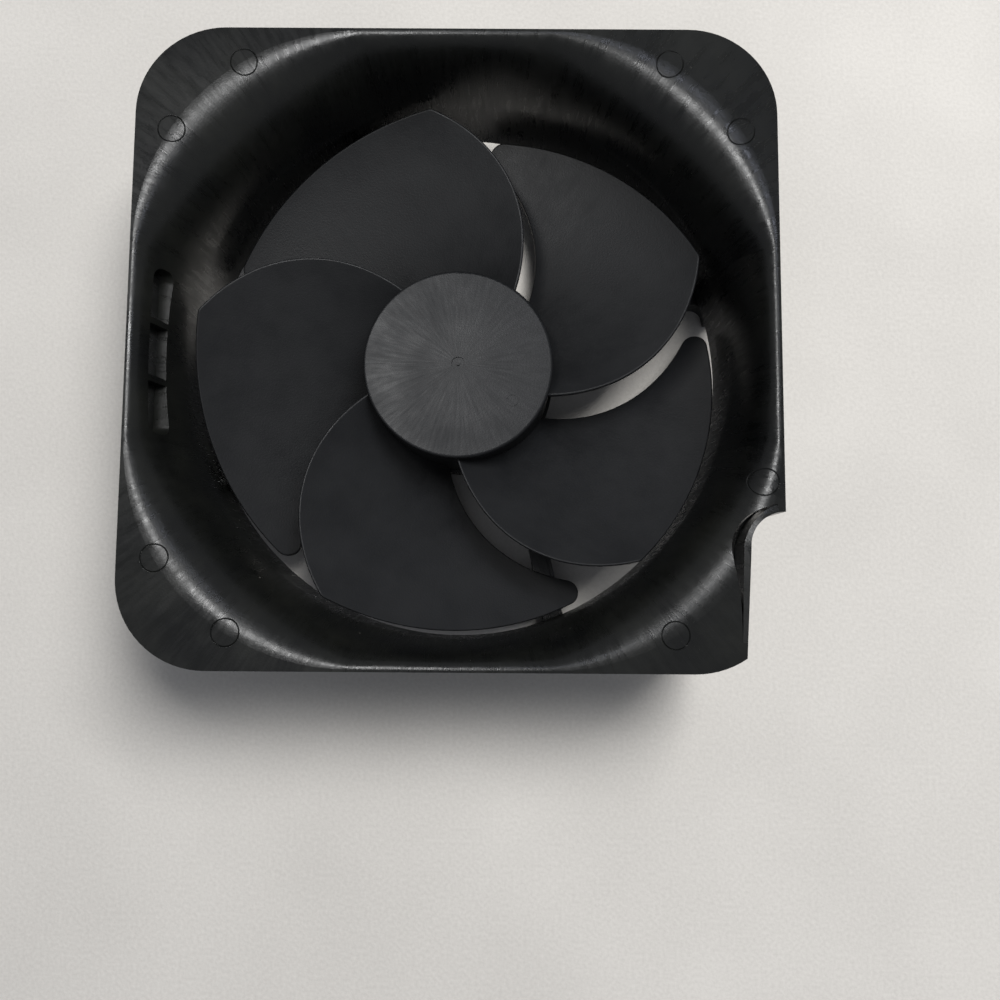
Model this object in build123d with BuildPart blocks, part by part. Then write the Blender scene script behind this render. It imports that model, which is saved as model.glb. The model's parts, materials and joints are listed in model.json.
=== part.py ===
from build123d import *
import math
import os

# Case fan: a square funnel-mouthed housing around a five-blade impeller on a brushless motor.
# Millimetres. The origin is on the rotor axis, in the plane that the four feet stand on, and +Z
# runs along the axis towards the open mouth of the funnel.

# ---- driving dimensions ----

# housing, outside
flange_size = 145.0
flange_corner_radius = 20.0
flange_plate = 2.0
housing_height = 50.0
skirt_wall = 1.6
skirt_depth = 28.0

# funnel from the square mouth down to the round throat
funnel_depth = 25.0
funnel_wall = 2.0
mouth_land = 0.5            # flat left between the mouth and the flange edge at the middle of a side
mouth_corner_radius = 50.0
funnel_sections = 6
mouth_bow = 0.05            # how far the mouth's long sides bow outward
funnel_power = 0.8          # below 1 the funnel stays upright longer and rolls over nearer its mouth

# barrel, feet, struts and motor base
barrel_bottom = 7.5
barrel_wall = 2.0
strut_count = 4
strut_width = 5.0
strut_offset = 10.7         # how far a strut's centre line passes from the rotor axis
strut_direction = -77.66    # degrees, the way the first strut points
strut_bottom = 0.8
strut_top = 6.0
foot_width = 15.4
foot_thickness = 3.4
foot_height = 12.0
foot_blend_radius = 3.2
wire_channel_width = 2.6
wire_channel_depth = 3.6
strut_line_width = 0.4      # shallow line along the front of the strut that carries the leads
strut_line_depth = 0.5
base_radius = 24.0
base_bottom = 1.0
base_floor = 2.0
base_rim_wall = 1.6
base_rim_height = 2.8

# notch in the right-hand edge of the flange, with a slot beside it
notch_top = -37.5
notch_depth = 7.55
notch_radius = 7.4
notch_lean = 1.75           # how much deeper the notch is at its lower end
notch_lip = 1.5
notch_lip_taper = 0.65      # how much the lip narrows towards its lower end
notch_lip_tip = (1.65, 1.75)  # where the lip runs out, before and above the notch's top
lip_slope_turn = 80.0       # how far the slope runs round the notch above its straight side, degrees
lip_slope_width = 1.2
lip_slope_drop = 0.3
notch_slot_width = 2.35
notch_slot_end = -65.8
notch_slot_depth = 9.0

# blind window in the left-hand funnel wall, a row of cells with ribs between them
window_low = 39.2
window_high = 46.0
window_centre = -1.15
window_corner_radius = 2.6
window_depth = 2.9          # from the mouth's side to the flat back of the cells
window_pad_margin = 3.0
cell_count = 3
cell_length = 11.8
cell_rib = 1.4

# blind screw bosses and webs under the flange
boss_spacing = 118.0
boss_radius = 3.6
boss_length = 14.0
boss_hole_radius = 1.4
boss_hole_depth = 12.0
web_count = 8
web_thickness = 1.4

# round moulding marks on the flange
mark_radius = 3.15
mark_line = 0.3
mark_depth = 0.15
mark_near = 48.4
mark_far = 64.3
lone_mark = (68.2, -30.9)

# impeller
blade_count = 5
impeller_radius = 65.0
tip_clearance = 1.5
blade_thickness = 1.9
blade_root_overlap = 0.8
blade_sag = 1.1             # hollow of the pressure side
blade_edge_radius = 0.35
trailing_corner_radius = 2.4
leading_corner_radius = 3.2
hub_radius = 23.2
hub_top = 28.4
hub_bottom = 7.0
hub_wall = 1.7
hub_plate = 2.0
hub_edge_radius = 0.7
hub_boss_wall = 2.3
gate_radius = 1.65
gate_depth = 0.35
gate_nub_radius = 0.45
hub_mark_radius = 1.55
hub_mark_place = (13.3, -9.2)

# edges of the blade, as turns in degrees against the way out from hub (0) to tip (1)
trailing_turn = (53.62, 33.2, -4.31, 14.09)
leading_turn = (119.0, 32.1, 6.6, 4.0)
trailing_height_hub = 26.5
trailing_height_tip = 29.4
leading_height_hub = 10.0
leading_height_tip = 9.3

# rotor steel and magnet
yoke_wall = 1.2
magnet_thickness = 2.5
magnet_bottom = 8.0
magnet_top = 22.0
air_gap = 0.5
bush_wall = 1.5

# shaft and bearings
shaft_radius = 2.0
bearing_width = 4.0
ring_wall = 0.76
race_gap = 0.97             # clear radial space between the two rings
ball_radius = 0.6
ball_count = 7
ball_clearance = 0.06
cage_wall = 0.5
cage_height = 1.7
shield_thickness = 0.2
shield_inset = 0.1
shield_clearance = 0.14
tube_wall = 1.0
shoulder_height = 0.8
tube_top_lip = 0.7
fit_gap = 0.02              # radial gap of pieces pressed or slid together in one body

# shaft end
shaft_tip_gap = 1.2
snap_ring_thickness = 0.6
snap_ring_width = 1.1
snap_groove_depth = 0.35
shaft_tip_length = 1.1
washer_thickness = 0.6
spring_wire_radius = 0.25
spring_height = 2.1
spring_turns = 3.0

# stator
stator_height = 8.0
pole_count = 4
tooth_width = 5.0
stator_ring_wall = 2.6
shoe_thickness = 1.8
slot_opening = 4.2
insulator_thickness = 1.0
insulator_margin = 0.4
insulator_flange = 1.7
winding_thickness = 1.4
winding_side = 2.4
winding_corner_radius = 1.2
winding_end_gap = 0.3
bearing_stand = 1.5         # how far the upper bearing stands above the upper insulator

# circuit board
board_radius = 20.5
board_thickness = 1.0
board_lift = 1.0
board_clearance = 0.15
component_space = 2.6
board_flat = 18.5           # distance of the straight edge at the wire outlet
pin_radius = 0.35
pin_stub = 0.5
chip_size = (4.9, 3.9, 1.4)
chip_place = (-11.5, -8.0)
hall_size = (3.0, 4.0, 1.5)
hall_turn = 45.0
capacitor_radius = 2.0
capacitor_height = 2.2
capacitor_place = (-12.0, 8.5)
resistor_size = (1.6, 0.8, 0.5)
resistor_places = ((9.0, -11.5), (11.5, -11.5), (9.0, -13.5), (3.0, 16.0))
pad_size = (1.5, 2.6, 0.15)
pad_pitch = 2.2
pad_count = 4
boss_wall = 1.1

# label
label_radius = 19.0
label_thickness = 0.15
label_recess = 0.25

# ---- sizes that follow from the driving dimensions ----

flange_top = housing_height
half_flange = flange_size / 2
throat_radius = impeller_radius + tip_clearance
throat_height = housing_height - funnel_depth
mouth_half = half_flange - mouth_land
barrel_outer_radius = throat_radius + barrel_wall
notch_edge_x = half_flange - notch_depth
notch_centre = (notch_edge_x + notch_radius, notch_top - notch_radius)
window_length = cell_count * cell_length + (cell_count - 1) * cell_rib
window_reach = half_flange - throat_radius
foot_face = math.sqrt(barrel_outer_radius ** 2 - strut_offset ** 2)

inner_ring_radius = shaft_radius + fit_gap + ring_wall
outer_ring_inner_radius = inner_ring_radius + race_gap
outer_ring_radius = outer_ring_inner_radius + ring_wall
ball_pitch_radius = (inner_ring_radius + outer_ring_inner_radius) / 2
tube_bore = outer_ring_radius + fit_gap
tube_outer_radius = tube_bore + tube_wall
tube_bottom = base_bottom + label_recess + 0.05

base_top = base_bottom + base_floor
board_bottom = base_top + board_lift
board_top = board_bottom + board_thickness
lower_insulator_bottom = board_top + component_space + winding_thickness
stator_bottom = lower_insulator_bottom + insulator_thickness
stator_top = stator_bottom + stator_height
upper_insulator_top = stator_top + insulator_thickness

shaft_tip = base_top + shaft_tip_gap
snap_ring_bottom = shaft_tip + shaft_tip_length
washer_bottom = snap_ring_bottom + snap_ring_thickness
lower_bearing_bottom = washer_bottom + washer_thickness
upper_bearing_bottom = upper_insulator_top + bearing_stand - bearing_width
upper_bearing_top = upper_bearing_bottom + bearing_width
tube_top = upper_bearing_top + tube_top_lip
bush_bottom = upper_bearing_top + spring_height + 0.1

hub_underside = hub_top - hub_plate
hub_inner_radius = hub_radius - hub_wall
yoke_outer_radius = hub_inner_radius - fit_gap
yoke_inner_radius = yoke_outer_radius - yoke_wall
magnet_outer_radius = yoke_inner_radius - fit_gap
magnet_inner_radius = magnet_outer_radius - magnet_thickness
stator_radius = magnet_inner_radius - air_gap
stator_bore = tube_outer_radius + fit_gap
stator_ring_radius = stator_bore + stator_ring_wall
shoe_inner_radius = stator_radius - shoe_thickness
bush_outer_radius = shaft_radius + fit_gap + bush_wall
hub_boss_radius = bush_outer_radius + fit_gap + hub_boss_wall
pin_circle = stator_ring_radius - 0.7
base_boss_radius = tube_outer_radius + fit_gap + boss_wall

os.makedirs("parts", exist_ok=True)


def save(piece, label):
    piece.part.label = label
    export_step(piece.part, f"parts/{label}.step")


# ---- housing ----

def flange_outline():
    # rounded square with the notch taken out of its right-hand edge
    notch_low = -half_flange - 5
    outside = half_flange + 10
    with BuildSketch() as outline:
        RectangleRounded(flange_size, flange_size, flange_corner_radius)
        with BuildLine():
            Polyline((notch_centre[0], notch_top), (outside, notch_top), (outside, notch_low),
                     (notch_edge_x - notch_lean, notch_low), (notch_edge_x, notch_centre[1]))
            RadiusArc((notch_edge_x, notch_centre[1]), (notch_centre[0], notch_top), notch_radius)
        make_face(mode=Mode.SUBTRACT)
    return outline.sketch


def notch_slot():
    # crescent between the flange and the lip that follows the notch
    top_end = (notch_centre[0] - notch_lip_tip[0], notch_top + notch_lip_tip[1])
    shoulder = (notch_edge_x - notch_lip, notch_centre[1])
    bend = (shoulder[0] + 1.75, shoulder[1] + 4.5)
    low_end = (shoulder[0] - notch_lip_taper, notch_slot_end)
    widest = (shoulder[0] - notch_slot_width, shoulder[1] + 1)
    upper = (shoulder[0] + 1.2, shoulder[1] + 6.6)
    lower = (shoulder[0] - 1.7, shoulder[1] - 6.6)
    with BuildSketch() as slot:
        with BuildLine():
            ThreePointArc(top_end, bend, shoulder)
            Line(shoulder, low_end)
            Spline(low_end, lower, widest, upper, top_end, tangents=((0, 1), (1, 0.25)))
        make_face()
    return slot.sketch


def notch_lip_slope():
    # wedge that slopes the lip's top down towards the slot, round the notch and along its straight side
    shoulder = (notch_centre[0] - notch_radius - notch_lip, notch_centre[1], flange_top)
    length = notch_centre[1] - notch_slot_end
    with BuildSketch(Plane(origin=shoulder, x_dir=(1, 0, 0), z_dir=(0, -1, 0))) as profile:
        Polygon((-0.3, 0.2), (lip_slope_width, 0.2), (lip_slope_width, 0), (0, -lip_slope_drop),
                (-0.3, -lip_slope_drop), align=None)
    with BuildPart() as wedge:
        extrude(profile.sketch, amount=length, dir=(-notch_lip_taper / length, -1, 0))
        revolve(profile.sketch, axis=Axis((*notch_centre, 0), (0, 0, 1)), revolution_arc=-lip_slope_turn)
    return wedge.part


def funnel_section(half, side_half, bow, diagonal):
    # four shallow side arcs joined by four corner arcs
    side = half - bow
    corner = diagonal / math.sqrt(2)
    with BuildLine() as ring:
        for turn in range(4):
            points = [Vector(side, -side_half), Vector(half, 0), Vector(side, side_half),
                      Vector(corner, corner), Vector(side_half, side)]
            points = [point.rotate(Axis.Z, 90 * turn) for point in points]
            ThreePointArc(*points[:3])
            ThreePointArc(*points[2:])
    return ring.line


def funnel(extra):
    # the funnel's faces curve like a quarter ellipse, upright at the throat and level at the mouth
    side_half = mouth_half - mouth_corner_radius
    throat = throat_radius + extra
    throat_bow = throat - math.sqrt(throat ** 2 - side_half ** 2)
    mouth_diagonal = side_half * math.sqrt(2) + mouth_corner_radius + extra
    with BuildPart() as body:
        for index in range(funnel_sections):
            turn = math.radians(90) * index / (funnel_sections - 1)
            share = 1 - math.cos(turn)
            half = throat + (mouth_half + extra - throat) * share
            bow = throat_bow + (mouth_bow - throat_bow) * math.sin(turn)
            diagonal = throat + (mouth_diagonal - throat) * share
            with BuildSketch(Plane.XY.offset(throat_height + funnel_depth * math.sin(turn) ** funnel_power)):
                with BuildLine():
                    add(funnel_section(half, side_half, bow, diagonal))
                make_face()
        loft()
    return body.part


def strut_frames():
    # one frame per strut: x runs outward along it, the origin is abreast of the rotor axis
    frames = []
    for index in range(strut_count):
        turn = math.radians(strut_direction + 360 * index / strut_count)
        along = (math.cos(turn), math.sin(turn), 0)
        across = (-math.sin(turn), math.cos(turn), 0)
        origin = (strut_offset * across[0], strut_offset * across[1], 0)
        frames.append(Plane(origin=origin, x_dir=along, z_dir=(0, 0, 1)))
    return frames


def make_fan_frame():
    outline = flange_outline()
    strut_start = math.sqrt(base_radius ** 2 - strut_offset ** 2) - 2
    web_start = throat_radius + 1
    web_length = half_flange * math.sqrt(2) - web_start
    skirt_bottom = flange_top - skirt_depth
    with BuildPart() as fan_frame:
        add(funnel(funnel_wall))
        with BuildSketch(Plane.XY.offset(throat_height)):
            add(outline)
        extrude(amount=funnel_depth, mode=Mode.INTERSECT)
        # flange plate and the skirt that hangs from its edge
        with BuildSketch(Plane.XY.offset(flange_top)):
            add(outline)
        extrude(amount=-flange_plate)
        with BuildSketch(Plane.XY.offset(skirt_bottom)):
            add(outline)
            offset(outline, amount=-skirt_wall, mode=Mode.SUBTRACT)
        extrude(amount=skirt_depth - flange_plate / 2)
        # webs and screw bosses between funnel and skirt
        with BuildSketch(Plane.XY.offset(throat_height)):
            with PolarLocations(0, web_count, start_angle=180 / web_count):
                with Locations((web_start, 0)):
                    Rectangle(web_length, web_thickness, align=(Align.MIN, Align.CENTER))
            add(outline, mode=Mode.INTERSECT)
        extrude(amount=funnel_depth - flange_plate / 2)
        with BuildSketch(Plane.XY.offset(flange_top - flange_plate / 2)):
            with GridLocations(boss_spacing, boss_spacing, 2, 2):
                Circle(boss_radius)
        extrude(amount=-boss_length)
        # solid pad behind the window
        with BuildSketch(Plane.YZ.offset(-half_flange + skirt_wall / 2)):
            with Locations((window_centre, (window_low + window_high) / 2)):
                Rectangle(window_length + 2 * window_pad_margin,
                          window_high - window_low + 2 * window_pad_margin)
        extrude(amount=window_reach)
        add(funnel(0), mode=Mode.SUBTRACT)
        # barrel
        with BuildSketch(Plane.XY.offset(barrel_bottom)):
            Circle(barrel_outer_radius)
            Circle(throat_radius, mode=Mode.SUBTRACT)
        extrude(amount=throat_height - barrel_bottom)
        # struts, each with a foot that reaches from under the barrel up its outer side
        for frame in strut_frames():
            with BuildSketch(frame.offset(strut_bottom)):
                with Locations((strut_start, 0)):
                    Rectangle(foot_face - strut_start, strut_width, align=(Align.MIN, Align.CENTER))
            extrude(amount=strut_top - strut_bottom)
            with BuildSketch(frame) as foot:
                with Locations((foot_face, 0)):
                    Rectangle(foot_thickness, foot_width, align=(Align.MIN, Align.CENTER))
                    Rectangle(2 * foot_blend_radius, strut_width, align=(Align.MAX, Align.CENTER))
                waist = foot.vertices().group_by(Axis.X)[1]
                fillet(waist.sort_by(Axis.Y)[1:3], foot_blend_radius)
            extrude(amount=strut_top)
            with BuildSketch(frame.offset(strut_top - 1)):
                with Locations((foot_face, 0)):
                    Rectangle(foot_thickness, foot_width, align=(Align.MIN, Align.CENTER))
            extrude(amount=barrel_bottom - strut_top + 1)
            with BuildSketch(frame.offset(barrel_bottom)):
                with Locations((foot_face + foot_thickness, 0)):
                    Rectangle(4 * foot_thickness, foot_width, align=(Align.MAX, Align.CENTER))
                with Locations((0, -strut_offset)):
                    Circle(throat_radius + barrel_wall / 2, mode=Mode.SUBTRACT)
            extrude(amount=foot_height - barrel_bottom)
        # motor base: a shallow cup with a boss for the bearing tube
        with BuildSketch(Plane.XY.offset(base_bottom)):
            Circle(base_radius)
        extrude(amount=base_floor + base_rim_height)
        with BuildSketch(Plane.XY.offset(base_top)):
            Circle(base_radius - base_rim_wall)
            Circle(base_boss_radius, mode=Mode.SUBTRACT)
        extrude(amount=strut_top, mode=Mode.SUBTRACT)
        with BuildSketch(Plane.XY.offset(board_bottom)):
            Circle(base_boss_radius + 1)
        extrude(amount=strut_top, mode=Mode.SUBTRACT)
        with BuildSketch(Plane.XY.offset(base_bottom)):
            Circle(tube_outer_radius + fit_gap)
        extrude(amount=board_bottom, mode=Mode.SUBTRACT)
        with BuildSketch(Plane.XY.offset(base_bottom)):
            Circle(label_radius + 0.3)
        extrude(amount=label_recess, mode=Mode.SUBTRACT)
        # channel for the motor's leads along the back of the first strut, and a line along its front
        lead_frame = strut_frames()[0]
        with BuildSketch(lead_frame):
            with Locations((base_radius - base_rim_wall - 1, 0)):
                Rectangle(2 * barrel_outer_radius, wire_channel_width, align=(Align.MIN, Align.CENTER))
        extrude(amount=wire_channel_depth, mode=Mode.SUBTRACT)
        with BuildSketch(lead_frame.offset(strut_top)):
            with Locations((base_radius + 2, strut_width / 2 - 2 * strut_line_width)):
                Rectangle(foot_face - base_radius, strut_line_width, align=(Align.MIN, Align.MAX))
        extrude(amount=-strut_line_depth, mode=Mode.SUBTRACT)
        # cells of the blind window
        with BuildSketch(Plane.YZ.offset(-half_flange + window_depth)):
            with Locations((window_centre, (window_low + window_high) / 2)):
                RectangleRounded(window_length, window_high - window_low, window_corner_radius)
                for number in range(1, cell_count):
                    rib_end = number * (cell_length + cell_rib) - window_length / 2
                    with Locations((rib_end - cell_rib / 2, 0)):
                        Rectangle(cell_rib, window_high - window_low, mode=Mode.SUBTRACT)
        extrude(amount=window_reach, mode=Mode.SUBTRACT)
        with BuildSketch(Plane.XY.offset(flange_top)):
            add(notch_slot())
        extrude(amount=-notch_slot_depth, mode=Mode.SUBTRACT)
        add(notch_lip_slope(), mode=Mode.SUBTRACT)
        # moulding marks
        places = [(x * mark_near, y * mark_far) for x in (-1, 1) for y in (-1, 1)]
        places += [(x * mark_far, y * mark_near) for x, y in ((-1, -1), (-1, 1), (1, 1))]
        places.append(lone_mark)
        with BuildSketch(Plane.XY.offset(flange_top)):
            with Locations(*places):
                Circle(mark_radius)
                Circle(mark_radius - mark_line, mode=Mode.SUBTRACT)
        extrude(amount=-mark_depth, mode=Mode.SUBTRACT)
        # blind screw holes, open downward
        with BuildSketch(Plane.XY.offset(flange_top - flange_plate / 2 - boss_length)):
            with GridLocations(boss_spacing, boss_spacing, 2, 2):
                Circle(boss_hole_radius)
        extrude(amount=boss_hole_depth, mode=Mode.SUBTRACT)
    return fan_frame


save(make_fan_frame(), "fan_frame")


# ---- impeller ----

def polynomial(terms, share):
    return sum(term * share ** power for power, term in enumerate(terms))


def edge_point(terms, share):
    # a point of a blade edge in plan, at this share of the way out from hub to tip
    radius = hub_radius + (impeller_radius - hub_radius) * share
    turn = math.radians(polynomial(terms, share))
    return (radius * math.cos(turn), radius * math.sin(turn))


def blade_height(share, across):
    # height of the blade's upper face, from its trailing edge (0) to its leading edge (1)
    trailing = trailing_height_hub + (trailing_height_tip - trailing_height_hub) * share
    leading = leading_height_hub + (leading_height_tip - leading_height_hub) * share
    return trailing + (leading - trailing) * across - 4 * blade_sag * across * (1 - across)


def blade_outline():
    # plan of one blade, its root just inside the hub wall
    root_share = -blade_root_overlap / (impeller_radius - hub_radius)
    shares = [root_share, 0.2, 0.45, 0.7, 0.88, 1]
    trailing = [edge_point(trailing_turn, share) for share in shares]
    leading = [edge_point(leading_turn, share) for share in shares]
    with BuildSketch() as outline:
        with BuildLine():
            Spline(*trailing)
            RadiusArc(trailing[-1], leading[-1], -impeller_radius)
            Spline(*reversed(leading))
            RadiusArc(leading[0], trailing[0], hub_radius - blade_root_overlap)
        make_face()
        for tip, radius in ((trailing[-1], trailing_corner_radius), (leading[-1], leading_corner_radius)):
            corners = outline.vertices().sort_by(lambda corner: (corner.center() - Vector(*tip)).length)
            fillet(corners[:1], radius)
    return outline.sketch


def blade_face():
    # the blade's upper face, carried a little past its outline on every side
    rows = []
    for row in range(9):
        share = -0.08 + 1.14 * row / 8
        start = polynomial(trailing_turn, share)
        finish = polynomial(leading_turn, share)
        radius = hub_radius + (impeller_radius - hub_radius) * share
        points = []
        for column in range(11):
            across = -0.15 + 1.3 * column / 10
            turn = math.radians(start + (finish - start) * across)
            height = blade_height(share, across)
            points.append(Vector(radius * math.cos(turn), radius * math.sin(turn), height))
        rows.append(points)
    return Face.make_surface_from_array_of_points(rows, tol=0.01)


def make_blade():
    # plan outline cut to the blade's upper face and its under face
    skin = blade_face()
    with BuildPart() as blade:
        extrude(skin, amount=-blade_thickness, dir=(0, 0, 1))
        with BuildSketch():
            add(blade_outline())
        extrude(amount=housing_height, mode=Mode.INTERSECT)
        skins = blade.faces().sort_by(SortBy.AREA)[-2:]
        rim = [edge for edge in skins[0].edges() + skins[1].edges() if (edge @ 0.5).length > hub_radius]
        fillet(rim, blade_edge_radius)
    return blade.part


def make_impeller():
    blade = make_blade()
    cup_radius = hub_inner_radius
    with BuildPart() as impeller:
        with BuildSketch(Plane.XY.offset(hub_bottom)):
            Circle(hub_radius)
        extrude(amount=hub_top - hub_bottom)
        fillet(impeller.edges().group_by(Axis.Z)[-1], hub_edge_radius)
        with BuildSketch(Plane.XY.offset(hub_bottom)):
            Circle(cup_radius)
        extrude(amount=hub_underside - hub_bottom, mode=Mode.SUBTRACT)
        with BuildSketch(Plane.XY.offset(bush_bottom)):
            Circle(hub_boss_radius)
            Circle(bush_outer_radius + fit_gap, mode=Mode.SUBTRACT)
        extrude(amount=hub_underside - bush_bottom)
        for number in range(blade_count):
            add(blade.rotate(Axis.Z, 360 * number / blade_count))
        # gate recess at the centre and a round moulding mark beside it
        with BuildSketch(Plane.XY.offset(hub_top)):
            Circle(gate_radius)
            Circle(gate_nub_radius, mode=Mode.SUBTRACT)
        extrude(amount=-gate_depth, mode=Mode.SUBTRACT)
        with BuildSketch(Plane.XY.offset(hub_top)):
            with Locations(hub_mark_place):
                Circle(hub_mark_radius)
                Circle(hub_mark_radius - mark_line, mode=Mode.SUBTRACT)
        extrude(amount=-mark_depth, mode=Mode.SUBTRACT)
    return impeller


save(make_impeller(), "impeller")


# ---- round motor pieces ----

def tube_piece(bottom, top, outer, inner):
    # plain ring standing on a height, with a bore through it
    with BuildPart() as ring:
        with BuildSketch(Plane.XY.offset(bottom)):
            Circle(outer)
            Circle(inner, mode=Mode.SUBTRACT)
        extrude(amount=top - bottom)
    return ring


def make_rotor_yoke():
    # steel cup pressed into the hub, with a hole round the hub's boss
    yoke_top = hub_underside - fit_gap
    with BuildPart() as rotor_yoke:
        with BuildSketch(Plane.XY.offset(hub_bottom + 0.5)):
            Circle(yoke_outer_radius)
        extrude(amount=yoke_top - hub_bottom - 0.5)
        fillet(rotor_yoke.edges().group_by(Axis.Z)[-1], yoke_wall / 2)
        with BuildSketch(Plane.XY.offset(hub_bottom + 0.5)):
            Circle(yoke_inner_radius)
        extrude(amount=yoke_top - hub_bottom - 0.5 - yoke_wall, mode=Mode.SUBTRACT)
        with BuildSketch(Plane.XY.offset(hub_bottom)):
            Circle(hub_boss_radius + 0.1)
        extrude(amount=hub_top - hub_bottom, mode=Mode.SUBTRACT)
    return rotor_yoke


def make_shaft():
    # ground pin with a groove for the snap ring and a small chamfer at each end
    shaft_top = hub_underside - 0.1
    with BuildPart() as shaft:
        with BuildSketch(Plane.XY.offset(shaft_tip)):
            Circle(shaft_radius)
        extrude(amount=shaft_top - shaft_tip)
        chamfer(shaft.edges().group_by(Axis.Z)[-1] + shaft.edges().group_by(Axis.Z)[0], 0.3)
        with BuildSketch(Plane.XY.offset(snap_ring_bottom - fit_gap)):
            Circle(shaft_radius + 1)
            Circle(shaft_radius - snap_groove_depth, mode=Mode.SUBTRACT)
        extrude(amount=snap_ring_thickness + 2 * fit_gap, mode=Mode.SUBTRACT)
    return shaft


def make_snap_ring():
    # open ring that springs into the shaft's groove
    inner = shaft_radius - snap_groove_depth + fit_gap
    with BuildPart() as snap_ring:
        with BuildSketch(Plane.XY.offset(snap_ring_bottom)):
            Circle(inner + snap_ring_width)
            Circle(inner, mode=Mode.SUBTRACT)
            with Locations((0, -inner - snap_ring_width / 2)):
                Rectangle(1.6 * inner, snap_ring_width + inner, mode=Mode.SUBTRACT)
        extrude(amount=snap_ring_thickness)
    return snap_ring


def make_preload_spring():
    # compression spring between the hub bush and the upper bearing's inner ring
    middle_radius = shaft_radius + 0.2 + spring_wire_radius
    rise = spring_height - 2 * spring_wire_radius
    start = (middle_radius, 0, upper_bearing_top + 0.05 + spring_wire_radius)
    with BuildPart() as preload_spring:
        with BuildLine():
            Helix(rise / spring_turns, rise, middle_radius, center=(0, 0, start[2]))
        with BuildSketch(Plane(origin=start, x_dir=(1, 0, 0), z_dir=(0, 1, 0))):
            Circle(spring_wire_radius)
        sweep(is_frenet=True)
    return preload_spring


def make_bearing_tube():
    # brass tube with a shoulder inside that spaces the two bearings
    shoulder_bottom = lower_bearing_bottom + bearing_width
    with BuildPart() as bearing_tube:
        with BuildSketch(Plane.XY.offset(tube_bottom)):
            Circle(tube_outer_radius)
            Circle(tube_bore, mode=Mode.SUBTRACT)
        extrude(amount=tube_top - tube_bottom)
        with BuildSketch(Plane.XY.offset(shoulder_bottom)):
            Circle(tube_bore + tube_wall / 2)
            Circle(tube_bore - shoulder_height, mode=Mode.SUBTRACT)
        extrude(amount=upper_bearing_bottom - shoulder_bottom)
    return bearing_tube


def make_tube_cap():
    # plug that closes the tube below the shaft, with a thin flange step
    with BuildPart() as tube_cap:
        with BuildSketch(Plane.XY.offset(tube_bottom)):
            Circle(tube_bore - fit_gap)
        extrude(amount=1.2)
        with BuildSketch(Plane.XY.offset(tube_bottom + 0.6)):
            Circle(tube_bore - 1.2)
        extrude(amount=0.6, mode=Mode.SUBTRACT)
        chamfer(tube_cap.edges().group_by(Axis.Z)[0], 0.2)
    return tube_cap


# ---- ball bearings ----

def ring_groove(middle):
    with BuildPart() as groove:
        with BuildSketch(Plane.XZ):
            with Locations((ball_pitch_radius, middle)):
                Circle(ball_radius + ball_clearance)
        revolve(axis=Axis.Z)
    return groove.part


def make_bearing_ring(bottom, outer, inner):
    # one ring of a bearing, with the balls' track turned into it
    with BuildPart() as ring:
        with BuildSketch(Plane.XY.offset(bottom)):
            Circle(outer)
            Circle(inner, mode=Mode.SUBTRACT)
        extrude(amount=bearing_width)
        add(ring_groove(bottom + bearing_width / 2), mode=Mode.SUBTRACT)
    return ring


def make_ball_set(bottom):
    with BuildPart() as balls:
        with Locations((0, 0, bottom + bearing_width / 2)):
            with PolarLocations(ball_pitch_radius, ball_count):
                Sphere(ball_radius)
    return balls


def make_ball_cage(bottom):
    # moulded ring with a round pocket for each ball
    middle = bottom + bearing_width / 2
    with BuildPart() as cage:
        with BuildSketch(Plane.XY.offset(middle - cage_height / 2)):
            Circle(ball_pitch_radius + cage_wall / 2)
            Circle(ball_pitch_radius - cage_wall / 2, mode=Mode.SUBTRACT)
        extrude(amount=cage_height)
        with Locations((0, 0, middle)):
            with PolarLocations(ball_pitch_radius, ball_count):
                Cylinder(ball_radius + ball_clearance, 3 * cage_wall, rotation=(0, 90, 0),
                         mode=Mode.SUBTRACT)
    return cage


def make_shields(bottom):
    # thin plates that close both ends of a bearing
    inner = inner_ring_radius + shield_clearance
    with BuildPart() as shields:
        for height in (shield_inset, bearing_width - shield_inset - shield_thickness):
            with BuildSketch(Plane.XY.offset(bottom + height)):
                Circle(outer_ring_inner_radius - fit_gap / 2)
                Circle(inner, mode=Mode.SUBTRACT)
            extrude(amount=shield_thickness)
    return shields


# ---- stator ----

def stator_plan(ring_outer, bore, width, shoe_outer, shoe_inner):
    # hub ring, a straight tooth for each pole and the curved shoes at their ends
    pole_step = 360 / pole_count
    with BuildSketch() as plan:
        Circle(shoe_outer)
        Circle(shoe_inner, mode=Mode.SUBTRACT)
        with PolarLocations((shoe_outer + shoe_inner) / 2, pole_count, start_angle=pole_step / 2):
            Rectangle(2 * shoe_thickness, slot_opening, mode=Mode.SUBTRACT)
        Circle(ring_outer)
        with PolarLocations((shoe_inner + bore) / 2, pole_count):
            Rectangle(shoe_inner - bore + 0.6, width)
        Circle(bore, mode=Mode.SUBTRACT)
    return plan.sketch


def make_stator_core():
    with BuildPart() as stator_core:
        with BuildSketch(Plane.XY.offset(stator_bottom)):
            add(stator_plan(stator_ring_radius, stator_bore, tooth_width, stator_radius, shoe_inner_radius))
        extrude(amount=stator_height)
    return stator_core


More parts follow.
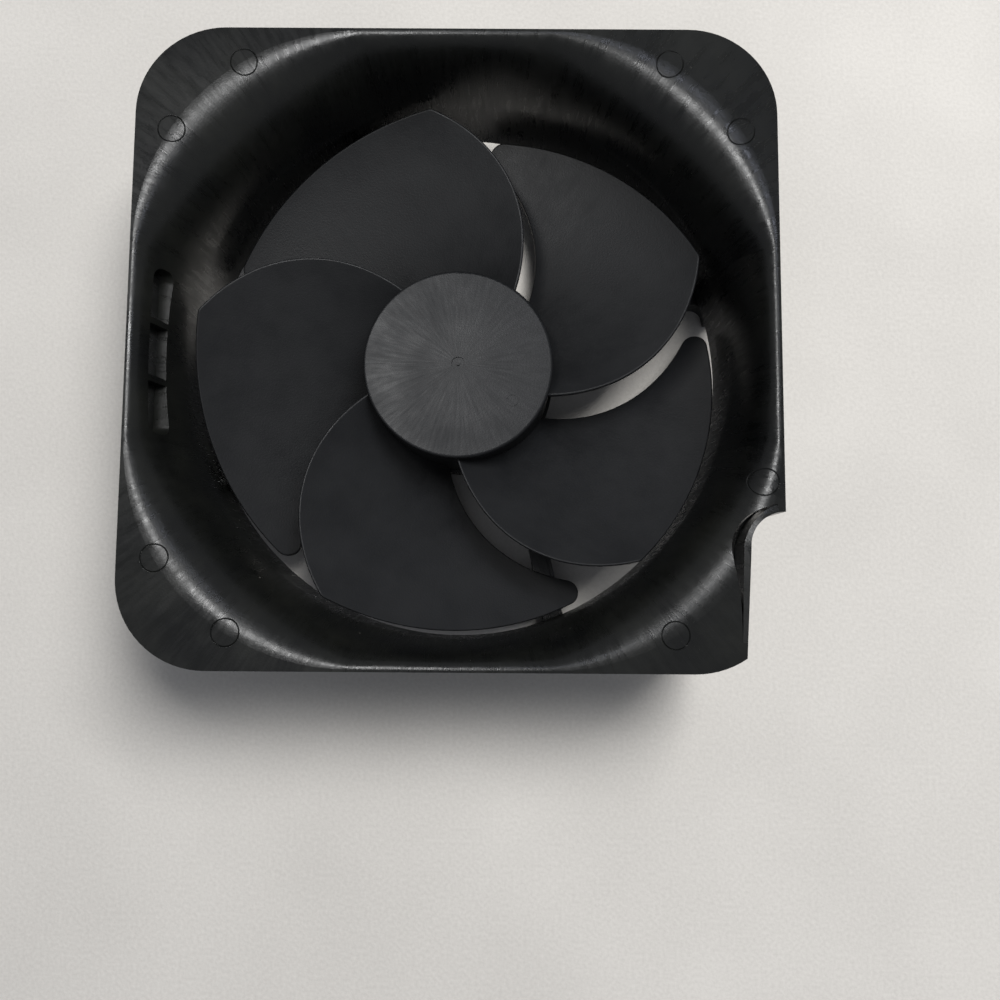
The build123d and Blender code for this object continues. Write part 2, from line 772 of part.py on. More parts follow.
def make_insulator(bottom, outward):
    # moulded cover of the laminations; outward is 1 for the upper one and -1 for the lower one
    shoe_outer = stator_radius - 0.3
    shoe_inner = shoe_inner_radius - insulator_margin
    width = tooth_width + 2 * insulator_margin
    with BuildPart() as insulator:
        with BuildSketch(Plane.XY.offset(bottom)):
            add(stator_plan(stator_ring_radius + insulator_margin, stator_bore, width, shoe_outer,
                            shoe_inner))
        extrude(amount=insulator_thickness)
        # upright flanges that hold the windings on their teeth
        face_height = bottom + insulator_thickness if outward > 0 else bottom
        with BuildSketch(Plane.XY.offset(face_height)):
            Circle(shoe_inner + 0.9)
            Circle(shoe_inner, mode=Mode.SUBTRACT)
            with PolarLocations(shoe_inner, pole_count, start_angle=180 / pole_count):
                Rectangle(4, 1.6 * slot_opening, mode=Mode.SUBTRACT)
        extrude(amount=outward * insulator_flange)
        if outward < 0:
            with BuildSketch(Plane.XY.offset(bottom)):
                with PolarLocations(pin_circle, pole_count, start_angle=180 / pole_count):
                    Circle(pin_radius + fit_gap)
            extrude(amount=insulator_thickness, mode=Mode.SUBTRACT)
    return insulator


def make_coil(number):
    # one winding round a tooth and both insulators
    opening = tooth_width + 2 * insulator_margin + 2 * fit_gap
    start = stator_ring_radius + insulator_margin + winding_end_gap
    shoe_face = shoe_inner_radius - insulator_margin - winding_end_gap
    length = math.sqrt(shoe_face ** 2 - (opening / 2 + winding_side) ** 2) - start
    opening_height = stator_height + 2 * insulator_thickness + 2 * fit_gap
    turn = math.radians(360 * number / pole_count)
    outward = Vector(math.cos(turn), math.sin(turn), 0)
    across = Vector(-math.sin(turn), math.cos(turn), 0)
    middle = outward * start + Vector(0, 0, stator_bottom + stator_height / 2)
    with BuildPart() as coil:
        with BuildSketch(Plane(origin=middle, x_dir=across, z_dir=outward)):
            RectangleRounded(opening + 2 * winding_side, opening_height + 2 * winding_thickness,
                             winding_corner_radius)
            Rectangle(opening, opening_height, mode=Mode.SUBTRACT)
        extrude(amount=length)
    return coil


# ---- circuit board ----

def make_circuit_board():
    with BuildPart() as circuit_board:
        with BuildSketch(Plane.XY.offset(board_bottom)):
            Circle(board_radius)
            with Locations((0, -board_flat)):
                Rectangle(2 * board_radius, 10, align=(Align.CENTER, Align.MAX), mode=Mode.SUBTRACT)
            Circle(tube_outer_radius + board_clearance, mode=Mode.SUBTRACT)
            with PolarLocations(pin_circle, pole_count, start_angle=180 / pole_count):
                Circle(pin_radius + fit_gap, mode=Mode.SUBTRACT)
        extrude(amount=board_thickness)
    return circuit_board


def make_coil_pins():
    # posts that carry the winding ends down through the board
    with BuildPart() as coil_pins:
        with BuildSketch(Plane.XY.offset(board_bottom - pin_stub)):
            with PolarLocations(pin_circle, pole_count, start_angle=180 / pole_count):
                Circle(pin_radius)
        extrude(amount=stator_bottom - fit_gap - board_bottom + pin_stub)
    return coil_pins


def make_driver_chip():
    # eight-legged driver that switches the coils
    length, width, height = chip_size
    with BuildPart() as driver_chip:
        with BuildSketch(Plane.XY.offset(board_top + 0.15)):
            with Locations(chip_place):
                Rectangle(length, width)
        extrude(amount=height - 0.15)
        chamfer(driver_chip.edges().group_by(Axis.Z)[-1], 0.2)
        with BuildSketch(Plane.XY.offset(board_top)):
            with Locations(chip_place):
                with GridLocations(1.27, width + 0.8, 4, 2):
                    Rectangle(0.42, 1.2)
        extrude(amount=0.3)
    return driver_chip


def make_hall_sensor():
    # senses the magnet's poles from just inside the magnet ring
    turn = math.radians(hall_turn)
    outward = (math.cos(turn), math.sin(turn), 0)
    reach = stator_radius - hall_size[0] / 2
    origin = (reach * outward[0], reach * outward[1], board_top)
    with BuildPart() as hall_sensor:
        with BuildSketch(Plane(origin=origin, x_dir=outward, z_dir=(0, 0, 1))):
            Rectangle(hall_size[0], hall_size[1])
        extrude(amount=hall_size[2])
        chamfer(hall_sensor.edges().group_by(Axis.Z)[-1], 0.2)
    return hall_sensor


def make_capacitor():
    with BuildPart() as capacitor:
        with BuildSketch(Plane.XY.offset(board_top)):
            with Locations(capacitor_place):
                RectangleRounded(2 * capacitor_radius + 0.4, 2 * capacitor_radius + 0.4, 0.6)
        extrude(amount=0.5)
        with BuildSketch(Plane.XY.offset(board_top)):
            with Locations(capacitor_place):
                Circle(capacitor_radius)
        extrude(amount=capacitor_height)
        fillet(capacitor.edges().group_by(Axis.Z)[-1], 0.25)
    return capacitor


def make_resistors():
    with BuildPart() as resistors:
        with BuildSketch(Plane.XY.offset(board_top)):
            with Locations(*resistor_places):
                Rectangle(resistor_size[0], resistor_size[1])
        extrude(amount=resistor_size[2])
    return resistors


def make_solder_pads():
    # landings for the motor's leads along the board's straight edge
    with BuildPart() as solder_pads:
        with BuildSketch(Plane.XY.offset(board_top)):
            with Locations((0, -board_flat + pad_size[1] / 2 + 0.4)):
                with GridLocations(pad_pitch, 1, pad_count, 1):
                    Rectangle(pad_size[0], pad_size[1])
        extrude(amount=pad_size[2])
    return solder_pads


def make_rear_label():
    with BuildPart() as rear_label:
        with BuildSketch(Plane.XY.offset(base_bottom + label_recess - label_thickness)):
            Circle(label_radius)
        extrude(amount=label_thickness)
    return rear_label


save(make_rotor_yoke(), "rotor_yoke")
save(tube_piece(magnet_bottom, magnet_top, magnet_outer_radius, magnet_inner_radius), "magnet_ring")
save(make_shaft(), "shaft")
save(tube_piece(bush_bottom, hub_underside, bush_outer_radius, shaft_radius + fit_gap), "hub_bush")
save(make_snap_ring(), "snap_ring")
save(tube_piece(washer_bottom, lower_bearing_bottom, inner_ring_radius, shaft_radius + fit_gap),
     "thrust_washer")
save(make_preload_spring(), "preload_spring")
save(make_bearing_tube(), "bearing_tube")
save(make_tube_cap(), "tube_cap")

for name, bottom in (("lower", lower_bearing_bottom), ("upper", upper_bearing_bottom)):
    save(make_bearing_ring(bottom, outer_ring_radius, outer_ring_inner_radius), f"{name}_bearing_outer_ring")
    save(make_bearing_ring(bottom, inner_ring_radius, shaft_radius + fit_gap), f"{name}_bearing_inner_ring")
    save(make_ball_set(bottom), f"{name}_bearing_balls")
    save(make_ball_cage(bottom), f"{name}_bearing_cage")
    save(make_shields(bottom), f"{name}_bearing_shields")

save(make_stator_core(), "stator_core")
save(make_insulator(lower_insulator_bottom, -1), "lower_insulator")
save(make_insulator(stator_top, 1), "upper_insulator")
for number in range(pole_count):
    save(make_coil(number), f"coil_{number + 1}")
save(make_circuit_board(), "circuit_board")
save(make_coil_pins(), "coil_pins")
save(make_driver_chip(), "driver_chip")
save(make_hall_sensor(), "hall_sensor")
save(make_capacitor(), "capacitor")
save(make_resistors(), "resistors")
save(make_solder_pads(), "solder_pads")
save(make_rear_label(), "rear_label")
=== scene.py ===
import bpy
import json
import math
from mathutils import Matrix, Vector

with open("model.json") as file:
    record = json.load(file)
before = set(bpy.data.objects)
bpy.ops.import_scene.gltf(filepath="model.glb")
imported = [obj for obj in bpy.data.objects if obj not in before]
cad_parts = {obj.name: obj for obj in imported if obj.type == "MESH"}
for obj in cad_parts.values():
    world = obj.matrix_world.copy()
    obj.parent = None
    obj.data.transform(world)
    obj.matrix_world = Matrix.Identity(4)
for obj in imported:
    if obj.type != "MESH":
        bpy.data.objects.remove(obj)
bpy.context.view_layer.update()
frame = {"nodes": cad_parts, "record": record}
print("frame loaded:", len(frame["nodes"]), "nodes")

mm = 0.001
# stretches of the noise range that patterns are read from
noiseMiddle = (0.35, 0.65)
noiseSpan = (0.3, 0.7)


def linearFromHex(hexColour):
    channels = [int(hexColour[i:i + 2], 16) / 255 for i in (1, 3, 5)]
    linear = [c / 12.92 if c <= 0.04045 else ((c + 0.055) / 1.055) ** 2.4 for c in channels]
    return (*linear, 1.0)


def addNode(tree, kind, settings=None, links=None):
    # settings hold node properties and socket values, links hold input -> output socket
    node = tree.nodes.new(kind)
    for key, value in (settings or {}).items():
        if isinstance(key, str) and hasattr(node, key) and key not in node.inputs:
            setattr(node, key, value)
        else:
            node.inputs[key].default_value = value
    for key, source in (links or {}).items():
        tree.links.new(source, node.inputs[key])
    return node


def newMaterial(name):
    material = bpy.data.materials.new(name)
    material.use_nodes = True
    tree = material.node_tree
    tree.nodes.clear()
    shader = addNode(tree, "ShaderNodeBsdfPrincipled")
    addNode(tree, "ShaderNodeOutputMaterial", links={"Surface": shader.outputs[0]})
    where = addNode(tree, "ShaderNodeTexCoord").outputs["Object"]
    return material, tree, shader, where


def feedShader(tree, shader, colour, roughness, normal):
    tree.links.new(colour, shader.inputs["Base Color"])
    tree.links.new(roughness, shader.inputs["Roughness"])
    tree.links.new(normal, shader.inputs["Normal"])


def calculate(tree, operation, *values):
    # values are sockets or plain numbers
    node = addNode(tree, "ShaderNodeMath", {"operation": operation})
    for index, value in enumerate(values):
        if isinstance(value, (int, float)):
            node.inputs[index].default_value = value
        else:
            tree.links.new(value, node.inputs[index])
    return node.outputs[0]


def separate(tree, where):
    return addNode(tree, "ShaderNodeSeparateXYZ", links={0: where}).outputs


def flatten(tree, x, y):
    return addNode(tree, "ShaderNodeCombineXYZ", links={0: x, 1: y}).outputs[0]


def lengthOf(tree, vector):
    return addNode(tree, "ShaderNodeVectorMath", {"operation": "LENGTH"}, {0: vector}).outputs["Value"]


def noiseAt(tree, where, sizeMm, detail, roughness):
    # grains about sizeMm across
    return addNode(tree, "ShaderNodeTexNoise",
                   {"Scale": 1 / (sizeMm * mm), "Detail": detail, "Roughness": roughness},
                   {"Vector": where}).outputs[0]


def remap(tree, source, fromLow, fromHigh, toLow, toHigh):
    return addNode(tree, "ShaderNodeMapRange",
                   {"From Min": fromLow, "From Max": fromHigh, "To Min": toLow, "To Max": toHigh},
                   {"Value": source}).outputs[0]


def mixColours(tree, factor, first, second):
    # first and second are hex colours or colour sockets
    node = addNode(tree, "ShaderNodeMix", {"data_type": "RGBA"}, {0: factor})
    for socket, colour in ((node.inputs[6], first), (node.inputs[7], second)):
        if isinstance(colour, str):
            socket.default_value = linearFromHex(colour)
        else:
            tree.links.new(colour, socket)
    return node.outputs[2]


def raised(tree, height, depthMm, under=None, sunk=False):
    links = {"Height": height}
    if under:
        links["Normal"] = under
    return addNode(tree, "ShaderNodeBump", {"invert": sunk, "Strength": 1.0, "Distance": depthMm * mm},
                   links).outputs[0]


def polarCoordinates(tree, where, reachMm, stretch):
    # length round the rotor axis at reachMm, then radius and height, so patterns run round or outward
    x, y, z = separate(tree, where)
    around = calculate(tree, "MULTIPLY", calculate(tree, "ARCTAN2", y, x), reachMm * mm)
    radius = calculate(tree, "MULTIPLY", lengthOf(tree, flatten(tree, x, y)), stretch)
    height = calculate(tree, "MULTIPLY", z, stretch)
    return addNode(tree, "ShaderNodeCombineXYZ", links={0: around, 1: radius, 2: height}).outputs[0]


# lint: a speck in some cells only, as shares of a cell
dustLook = dict(edge=0.034, core=0.020, emptyShare=0.55)


def dustMask(tree, where, spacingMm, amount):
    cells = addNode(tree, "ShaderNodeTexVoronoi", {"Scale": 1 / (spacingMm * mm), "Randomness": 1.0},
                    {"Vector": where})
    spot = remap(tree, cells.outputs["Distance"], dustLook["edge"], dustLook["core"], 0.0, amount)
    draw = addNode(tree, "ShaderNodeSeparateColor", links={0: cells.outputs["Color"]}).outputs[0]
    return calculate(tree, "MULTIPLY", spot, calculate(tree, "GREATER_THAN", draw, dustLook["emptyShare"]))


# black PBT with glass fibre: near black, a grainy half gloss with pale streaks running outward
housingPbt = dict(base="#0a0b0b", worn="#141513", dust="#6b6a66", ior=1.54, grainMm=0.42, flowMm=16.0,
                  roughLow=0.27, roughHigh=0.36, grainDepthMm=0.022, streakMm=1.3, streakReachMm=70.0,
                  streakStretch=0.12, streakRough=0.10, streakDepthMm=0.05, dustSpacingMm=7.0, dustAmount=0.8)
# shallow round lines left by the mould's ejector pins near the corners
housingMarks = dict(radiusMm=3.0, lineMm=0.16, depthMm=0.12, nearMm=48.4, farMm=64.3, loneMm=(68.2, -30.9),
                    lowestMm=44.0)
# the same PBT with a duller, rougher skin: even dark grey without reflections
impellerPbt = dict(base="#111214", worn="#17181a", dust="#66676a", ior=1.5, grainMm=0.45, flowMm=14.0,
                   roughLow=0.42, roughHigh=0.56, grainDepthMm=0.035, streakMm=2.2, streakReachMm=44.0,
                   streakStretch=0.3, streakRough=0.05, streakDepthMm=0.0, dustSpacingMm=9.0, dustAmount=0.6)
# unfilled nylon: milky ivory with a soft gloss
naturalNylon = dict(base="#d9d2bf", worn="#c7bfa9", dust="#9b937f", ior=1.53, grainMm=0.25, flowMm=3.0,
                    roughLow=0.30, roughHigh=0.42, grainDepthMm=0.004, streakMm=0.5, streakReachMm=3.0,
                    streakStretch=0.4, streakRough=0.06, streakDepthMm=0.0, dustSpacingMm=2.5, dustAmount=0.3)
# bobbin polyester: chalky cream
insulatorPolyester = dict(base="#c9c2ae", worn="#b7ae97", dust="#8a8270", ior=1.57, grainMm=0.3, flowMm=5.0,
                          roughLow=0.45, roughHigh=0.6, grainDepthMm=0.008, streakMm=0.8,
                          streakReachMm=12.0, streakStretch=0.4, streakRough=0.05, streakDepthMm=0.0,
                          dustSpacingMm=4.0, dustAmount=0.4)
# oil-darkened cage nylon: amber tan
cageNylon = dict(base="#8d7c55", worn="#7b6a45", dust="#5b4f36", ior=1.53, grainMm=0.12, flowMm=1.5,
                 roughLow=0.35, roughHigh=0.5, grainDepthMm=0.003, streakMm=0.3, streakReachMm=3.5,
                 streakStretch=0.4, streakRough=0.05, streakDepthMm=0.0, dustSpacingMm=1.5, dustAmount=0.3)
# chip and resistor epoxy: matt charcoal with fine filler grain
componentEpoxy = dict(base="#1b1b1c", worn="#262627", dust="#5a5a5a", ior=1.55, grainMm=0.08, flowMm=1.2,
                      roughLow=0.42, roughHigh=0.58, grainDepthMm=0.003, streakMm=0.3, streakReachMm=14.0,
                      streakStretch=0.5, streakRough=0.04, streakDepthMm=0.0, dustSpacingMm=1.4,
                      dustAmount=0.4)
# bonded ferrite: dull warm grey with close pale specks
bondedFerrite = dict(base="#2b2a2b", worn="#3a3738", dust="#6a6466", ior=1.8, grainMm=0.2, flowMm=4.0,
                     roughLow=0.5, roughHigh=0.68, grainDepthMm=0.012, streakMm=0.8, streakReachMm=19.0,
                     streakStretch=0.6, streakRough=0.04, streakDepthMm=0.0, dustSpacingMm=0.9,
                     dustAmount=0.35)


def markLine(tree, where):
    x, y, z = separate(tree, where)
    plain = flatten(tree, x, y)
    folded = addNode(tree, "ShaderNodeVectorMath", {"operation": "ABSOLUTE"}, {0: plain}).outputs[0]
    near = housingMarks["nearMm"] * mm
    far = housingMarks["farMm"] * mm
    lone = [coordinate * mm for coordinate in housingMarks["loneMm"]]
    distances = []
    for source, centre in ((folded, (near, far, 0)), (folded, (far, near, 0)), (plain, (*lone, 0))):
        distances.append(addNode(tree, "ShaderNodeVectorMath", {"operation": "DISTANCE", 1: centre},
                                 {0: source}).outputs["Value"])
    # the notch takes up the place of one mark
    inNotchCorner = calculate(tree, "MULTIPLY", calculate(tree, "GREATER_THAN", x, 0.0),
                              calculate(tree, "LESS_THAN", y, 0.0))
    distances[1] = calculate(tree, "ADD", distances[1], inNotchCorner)
    nearest = calculate(tree, "MINIMUM", calculate(tree, "MINIMUM", distances[0], distances[1]), distances[2])
    offLine = calculate(tree, "ABSOLUTE", calculate(tree, "SUBTRACT", nearest, housingMarks["radiusMm"] * mm))
    line = remap(tree, offLine, 0.0, housingMarks["lineMm"] * mm, 1.0, 0.0)
    onFlange = calculate(tree, "GREATER_THAN", z, housingMarks["lowestMm"] * mm)
    return calculate(tree, "MULTIPLY", line, onFlange)


def mouldedPlastic(name, spec, marks=False):
    # mould grain, gloss that drifts and streaks along the melt's flow, specks of dust
    material, tree, shader, where = newMaterial(name)
    grain = noiseAt(tree, where, spec["grainMm"], 2.0, 0.6)
    flow = noiseAt(tree, where, spec["flowMm"], 4.0, 0.6)
    polar = polarCoordinates(tree, where, spec["streakReachMm"], spec["streakStretch"])
    streak = noiseAt(tree, polar, spec["streakMm"], 4.0, 0.7)
    body = mixColours(tree, remap(tree, flow, *noiseMiddle, 0.0, 1.0), spec["base"], spec["worn"])
    dusty = mixColours(tree, dustMask(tree, where, spec["dustSpacingMm"], spec["dustAmount"]), body,
                       spec["dust"])
    gloss = calculate(tree, "ADD", remap(tree, flow, *noiseSpan, spec["roughLow"], spec["roughHigh"]),
                      remap(tree, streak, *noiseSpan, -spec["streakRough"], spec["streakRough"]))
    normal = raised(tree, grain, spec["grainDepthMm"])
    if spec["streakDepthMm"]:
        normal = raised(tree, streak, spec["streakDepthMm"], under=normal)
    if marks:
        normal = raised(tree, markLine(tree, where), housingMarks["depthMm"], under=normal, sunk=True)
    feedShader(tree, shader, dusty, gloss, normal)
    shader.inputs["IOR"].default_value = spec["ior"]
    return material


# zinc plated yoke: cool grey, softly banded
zincPlatedSteel = dict(low="#8f9296", high="#b4b6ba", cloudMm=6.0, lineMm=0.25, stretch=8.0, reachMm=21.0,
                       roughLow=0.28, roughHigh=0.42, depthMm=0.004)
# ground shaft: bright, with hair-fine lines round it
groundSteel = dict(low="#b9bbbe", high="#cfd1d3", cloudMm=3.0, lineMm=0.06, stretch=14.0, reachMm=2.0,
                   roughLow=0.10, roughHigh=0.2, depthMm=0.0006)
# bearing rings and balls: polished and slightly darker
bearingSteel = dict(low="#b2b5b9", high="#c9cbce", cloudMm=2.0, lineMm=0.05, stretch=14.0, reachMm=3.6,
                    roughLow=0.12, roughHigh=0.22, depthMm=0.0006)
# turned brass: warm yellow with tool lines
turnedBrass = dict(low="#a88439", high="#c9a653", cloudMm=4.0, lineMm=0.09, stretch=12.0, reachMm=5.0,
                   roughLow=0.22, roughHigh=0.34, depthMm=0.002)
# spring wire: darker grey with drawing lines
springSteel = dict(low="#7d7f84", high="#9b9da2", cloudMm=2.0, lineMm=0.05, stretch=6.0, reachMm=2.5,
                   roughLow=0.25, roughHigh=0.38, depthMm=0.001)
# tinned pins and pads: satin silver, uneven
tinnedCopper = dict(low="#b3b3b0", high="#cfcfcb", cloudMm=0.8, lineMm=0.1, stretch=1.5, reachMm=12.0,
                    roughLow=0.3, roughHigh=0.5, depthMm=0.004)
# capacitor can: pale satin with drawing lines
drawnAluminium = dict(low="#b4b6ba", high="#cccdd0", cloudMm=2.0, lineMm=0.06, stretch=5.0, reachMm=14.0,
                      roughLow=0.25, roughHigh=0.38, depthMm=0.002)
cloudShare = 0.7


def workedMetal(name, spec):
    # cloudy sheen over fine lines round the axis, as turning, grinding or drawing leaves them
    material, tree, shader, where = newMaterial(name)
    polar = polarCoordinates(tree, where, spec["reachMm"] / spec["stretch"], 1.0)
    lines = noiseAt(tree, polar, spec["lineMm"], 3.0, 0.6)
    cloud = noiseAt(tree, where, spec["cloudMm"], 4.0, 0.6)
    tone = calculate(tree, "ADD", calculate(tree, "MULTIPLY", cloud, cloudShare),
                     calculate(tree, "MULTIPLY", lines, 1 - cloudShare))
    feedShader(tree, shader,
               mixColours(tree, remap(tree, tone, *noiseMiddle, 0.0, 1.0), spec["low"], spec["high"]),
               remap(tree, tone, *noiseMiddle, spec["roughHigh"], spec["roughLow"]),
               raised(tree, lines, spec["depthMm"]))
    shader.inputs["Metallic"].default_value = 1.0
    return material


# stacked silicon steel sheets: grey edges with a dark varnish line between each pair
laminationStack = dict(sheetMm=0.5, low="#5d6066", high="#85888d", gap="#1d1c1c", gapFrom=0.34, gapTo=0.46,
                       cloudMm=5.0, roughLow=0.34, roughHigh=0.50, depthMm=0.03)


def siliconSteelStack(name, spec):
    material, tree, shader, where = newMaterial(name)
    z = separate(tree, where)[2]
    phase = calculate(tree, "FRACT", calculate(tree, "MULTIPLY", z, 1 / (spec["sheetMm"] * mm)))
    edge = remap(tree, calculate(tree, "SUBTRACT", phase, 0.5), spec["gapFrom"], spec["gapTo"], 0.0, 1.0)
    cloud = noiseAt(tree, where, spec["cloudMm"], 4.0, 0.6)
    sheet = mixColours(tree, remap(tree, cloud, *noiseMiddle, 0.0, 1.0), spec["low"], spec["high"])
    feedShader(tree, shader, mixColours(tree, edge, sheet, spec["gap"]),
               remap(tree, cloud, *noiseSpan, spec["roughLow"], spec["roughHigh"]),
               raised(tree, edge, spec["depthMm"], sunk=True))
    shader.inputs["Metallic"].default_value = 1.0
    return material


# varnished winding wire: parallel red-brown turns, a few shades apart, with painted shade darkening the
# valleys between them
windingLook = dict(wireMm=0.32, valleyShade="#6b2a12", high="#b8622c", varnish="#8a4420", valleyTop=0.5,
                   shadeMm=1.6, metallic=0.85, roughLow=0.22, roughHigh=0.36, depthMm=0.09)


def enamelledCopperWire(name, spec):
    material, tree, shader, where = newMaterial(name)
    x, y, z = separate(tree, where)
    radius = lengthOf(tree, flatten(tree, x, y))
    turns = calculate(tree, "MULTIPLY", radius, 2 * math.pi / (spec["wireMm"] * mm))
    height = remap(tree, calculate(tree, "SINE", turns), -1.0, 1.0, 0.0, 1.0)
    shade = noiseAt(tree, where, spec["shadeMm"], 3.0, 0.6)
    copper = mixColours(tree, remap(tree, shade, *noiseMiddle, 0.0, 1.0), spec["varnish"], spec["high"])
    # painted shade: the dark valley colour is mixed in where the wire surface dips between turns
    valleyShadeAmount = remap(tree, height, 0.0, spec["valleyTop"], 1.0, 0.0)
    feedShader(tree, shader, mixColours(tree, valleyShadeAmount, copper, spec["valleyShade"]),
               remap(tree, shade, *noiseSpan, spec["roughLow"], spec["roughHigh"]),
               raised(tree, height, spec["depthMm"]))
    shader.inputs["Metallic"].default_value = spec["metallic"]
    return material


# green solder mask: glossy, lighter where tracks run under it, over a faint glass weave
boardLook = dict(mask="#0f4a24", track="#1c6a36", weave="#0c3d1d", trackMm=2.6, trackFrom=0.10, trackTo=0.14,
                 weaveMm=0.5, roughLow=0.22, roughHigh=0.34, depthMm=0.02)


def solderMaskOnEpoxy(name, spec):
    material, tree, shader, where = newMaterial(name)
    cells = addNode(tree, "ShaderNodeTexVoronoi",
                    {"feature": "DISTANCE_TO_EDGE", "Scale": 1 / (spec["trackMm"] * mm)}, {"Vector": where})
    track = remap(tree, cells.outputs["Distance"], spec["trackFrom"], spec["trackTo"], 1.0, 0.0)
    weave = noiseAt(tree, where, spec["weaveMm"], 2.0, 0.5)
    base = mixColours(tree, remap(tree, weave, *noiseMiddle, 0.0, 1.0), spec["weave"], spec["mask"])
    feedShader(tree, shader, mixColours(tree, track, base, spec["track"]),
               remap(tree, weave, *noiseSpan, spec["roughLow"], spec["roughHigh"]),
               raised(tree, track, spec["depthMm"]))
    return material


# blank polyester label: silver grey satin with a fine grain and a few scuffs
labelLook = dict(low="#a9aaa9", high="#b9bab8", scuff="#8d8e8c", grainMm=0.3, cloudMm=9.0, scuffMm=1.2,
                 scuffReachMm=4.0, scuffStretch=3.0, scuffFrom=0.62, scuffTo=0.72, scuffAmount=0.6,
                 metallic=0.3, roughLow=0.35, roughHigh=0.5, depthMm=0.004)


def polyesterLabelFilm(name, spec):
    material, tree, shader, where = newMaterial(name)
    cloud = noiseAt(tree, where, spec["cloudMm"], 4.0, 0.6)
    grain = noiseAt(tree, where, spec["grainMm"], 2.0, 0.5)
    film = mixColours(tree, remap(tree, cloud, *noiseMiddle, 0.0, 1.0), spec["low"], spec["high"])
    polar = polarCoordinates(tree, where, spec["scuffReachMm"], spec["scuffStretch"])
    scuffs = noiseAt(tree, polar, spec["scuffMm"], 5.0, 0.7)
    worn = remap(tree, scuffs, spec["scuffFrom"], spec["scuffTo"], 0.0, spec["scuffAmount"])
    feedShader(tree, shader, mixColours(tree, worn, film, spec["scuff"]),
               remap(tree, grain, *noiseSpan, spec["roughLow"], spec["roughHigh"]),
               raised(tree, grain, spec["depthMm"]))
    shader.inputs["Metallic"].default_value = spec["metallic"]
    return material


materials = {
    "housing_plastic": mouldedPlastic("glassFilledPbtHousing", housingPbt, marks=True),
    "impeller_plastic": mouldedPlastic("glassFilledPbtImpeller", impellerPbt),
    "clear_plastic": mouldedPlastic("naturalNylon", naturalNylon),
    "insulator_plastic": mouldedPlastic("insulatorPolyester", insulatorPolyester),
    "cage_plastic": mouldedPlastic("cageNylon", cageNylon),
    "component_plastic": mouldedPlastic("componentEpoxy", componentEpoxy),
    "magnet": mouldedPlastic("bondedFerrite", bondedFerrite),
    "yoke_steel": workedMetal("zincPlatedSteel", zincPlatedSteel),
    "shaft_steel": workedMetal("groundSteel", groundSteel),
    "bearing_steel": workedMetal("bearingSteel", bearingSteel),
    "brass": workedMetal("turnedBrass", turnedBrass),
    "spring_steel": workedMetal("springSteel", springSteel),
    "tinned_pins": workedMetal("tinnedCopper", tinnedCopper),
    "capacitor_can": workedMetal("drawnAluminium", drawnAluminium),
    "lamination_steel": siliconSteelStack("siliconSteelStack", laminationStack),
    "copper_wire": enamelledCopperWire("enamelledCopperWire", windingLook),
    "circuit_board": solderMaskOnEpoxy("solderMaskOnEpoxy", boardLook),
    "label_film": polyesterLabelFilm("polyesterLabelFilm", labelLook),
}
for part in frame["record"]["subparts"]:
    node = frame["nodes"][part["node"]]
    node.data.materials.clear()
    node.data.materials.append(materials[part["material_slot"]])
print("materials done:", len(materials))


# pale cloth: matt, warm white, with a fine weave
floorLook = dict(colour="#cfcdcb", thread="#c2c0be", halfSize=3.0, weaveMm=0.9, cloudMm=60.0, weaveShare=0.5,
                 roughLow=0.8, roughHigh=0.95, depthMm=0.05)


def makeFloor():
    half = floorLook["halfSize"]
    mesh = bpy.data.meshes.new("floor")
    mesh.from_pydata([(-half, -half, 0), (half, -half, 0), (half, half, 0), (-half, half, 0)], [],
                     [(0, 1, 2, 3)])
    floor = bpy.data.objects.new("floor", mesh)
    bpy.context.collection.objects.link(floor)
    material, tree, shader, where = newMaterial("paleCloth")
    weave = noiseAt(tree, where, floorLook["weaveMm"], 2.0, 0.5)
    cloud = noiseAt(tree, where, floorLook["cloudMm"], 3.0, 0.5)
    tone = calculate(tree, "ADD", calculate(tree, "MULTIPLY", weave, floorLook["weaveShare"]),
                     calculate(tree, "MULTIPLY", cloud, 1 - floorLook["weaveShare"]))
    feedShader(tree, shader,
               mixColours(tree, remap(tree, tone, *noiseMiddle, 0.0, 1.0), floorLook["thread"],
                          floorLook["colour"]),
               remap(tree, weave, *noiseSpan, floorLook["roughLow"], floorLook["roughHigh"]),
               raised(tree, weave, floorLook["depthMm"]))
    floor.data.materials.append(material)


worldLook = dict(colour="#e3e6ec", strength=0.30)


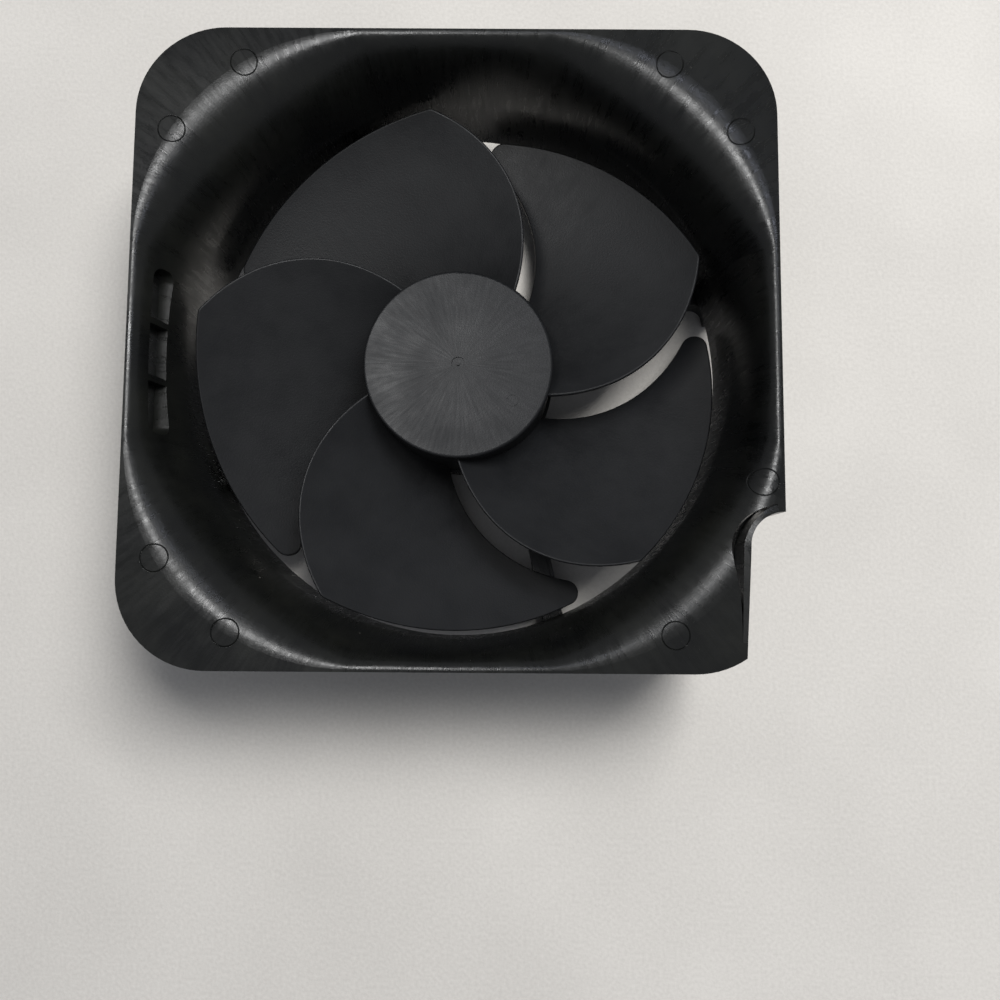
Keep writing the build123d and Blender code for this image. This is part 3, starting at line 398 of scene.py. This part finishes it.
def makeWorld():
    world = bpy.data.worlds.new("studio")
    world.use_nodes = True
    background = world.node_tree.nodes["Background"]
    background.inputs[0].default_value = linearFromHex(worldLook["colour"])
    background.inputs[1].default_value = worldLook["strength"]
    bpy.context.scene.world = world


# the key lights matt surfaces only, the strips draw the sheen on the mouth's rounded edge
lightLook = {
    "softKey": dict(place=(0.30, 0.34, 0.95), aim=(0.02, -0.02, 0), size=(0.45, 0.45), power=13.0,
                    colour="#fffdf8", glossy=False),
    "ceilingStripLeft": dict(place=(-0.066, 0.060, 0.300), aim=(-0.05, 0.04, 0.05), size=(0.035, 0.11),
                             power=0.32, colour="#ffffff", glossy=True),
    "ceilingStripTop": dict(place=(0.05, 0.11, 0.300), aim=(0.04, 0.05, 0.05), size=(0.03, 0.03),
                            power=0.03, colour="#e6ecff", glossy=True),
}


def makeLight(name, spec):
    data = bpy.data.lights.new(name, "AREA")
    data.shape = "RECTANGLE"
    data.size, data.size_y = spec["size"]
    data.energy = spec["power"]
    data.color = linearFromHex(spec["colour"])[:3]
    light = bpy.data.objects.new(name, data)
    light.location = spec["place"]
    light.rotation_euler = (Vector(spec["aim"]) - light.location).to_track_quat("-Z", "Y").to_euler()
    light.visible_camera = False
    light.visible_glossy = spec["glossy"]
    light.visible_diffuse = not spec["glossy"]
    bpy.context.collection.objects.link(light)


cameraLook = dict(place=(11.05 * mm, -54.76 * mm, 255.4 * mm), tilt=(5.396, 0.157, 0.376), lens=34.2,
                  sensor=36.0, clipStart=0.01)


def makeCamera():
    data = bpy.data.cameras.new("camera")
    data.lens = cameraLook["lens"]
    data.sensor_width = cameraLook["sensor"]
    data.clip_start = cameraLook["clipStart"]
    camera = bpy.data.objects.new("camera", data)
    camera.location = cameraLook["place"]
    camera.rotation_mode = "ZYX"
    camera.rotation_euler = [math.radians(angle) for angle in cameraLook["tilt"]]
    bpy.context.collection.objects.link(camera)
    bpy.context.scene.camera = camera


makeFloor()
makeWorld()
for lightName, lightSpec in lightLook.items():
    makeLight(lightName, lightSpec)
makeCamera()
bpy.context.scene.view_settings.view_transform = "Standard"
print("stage done")
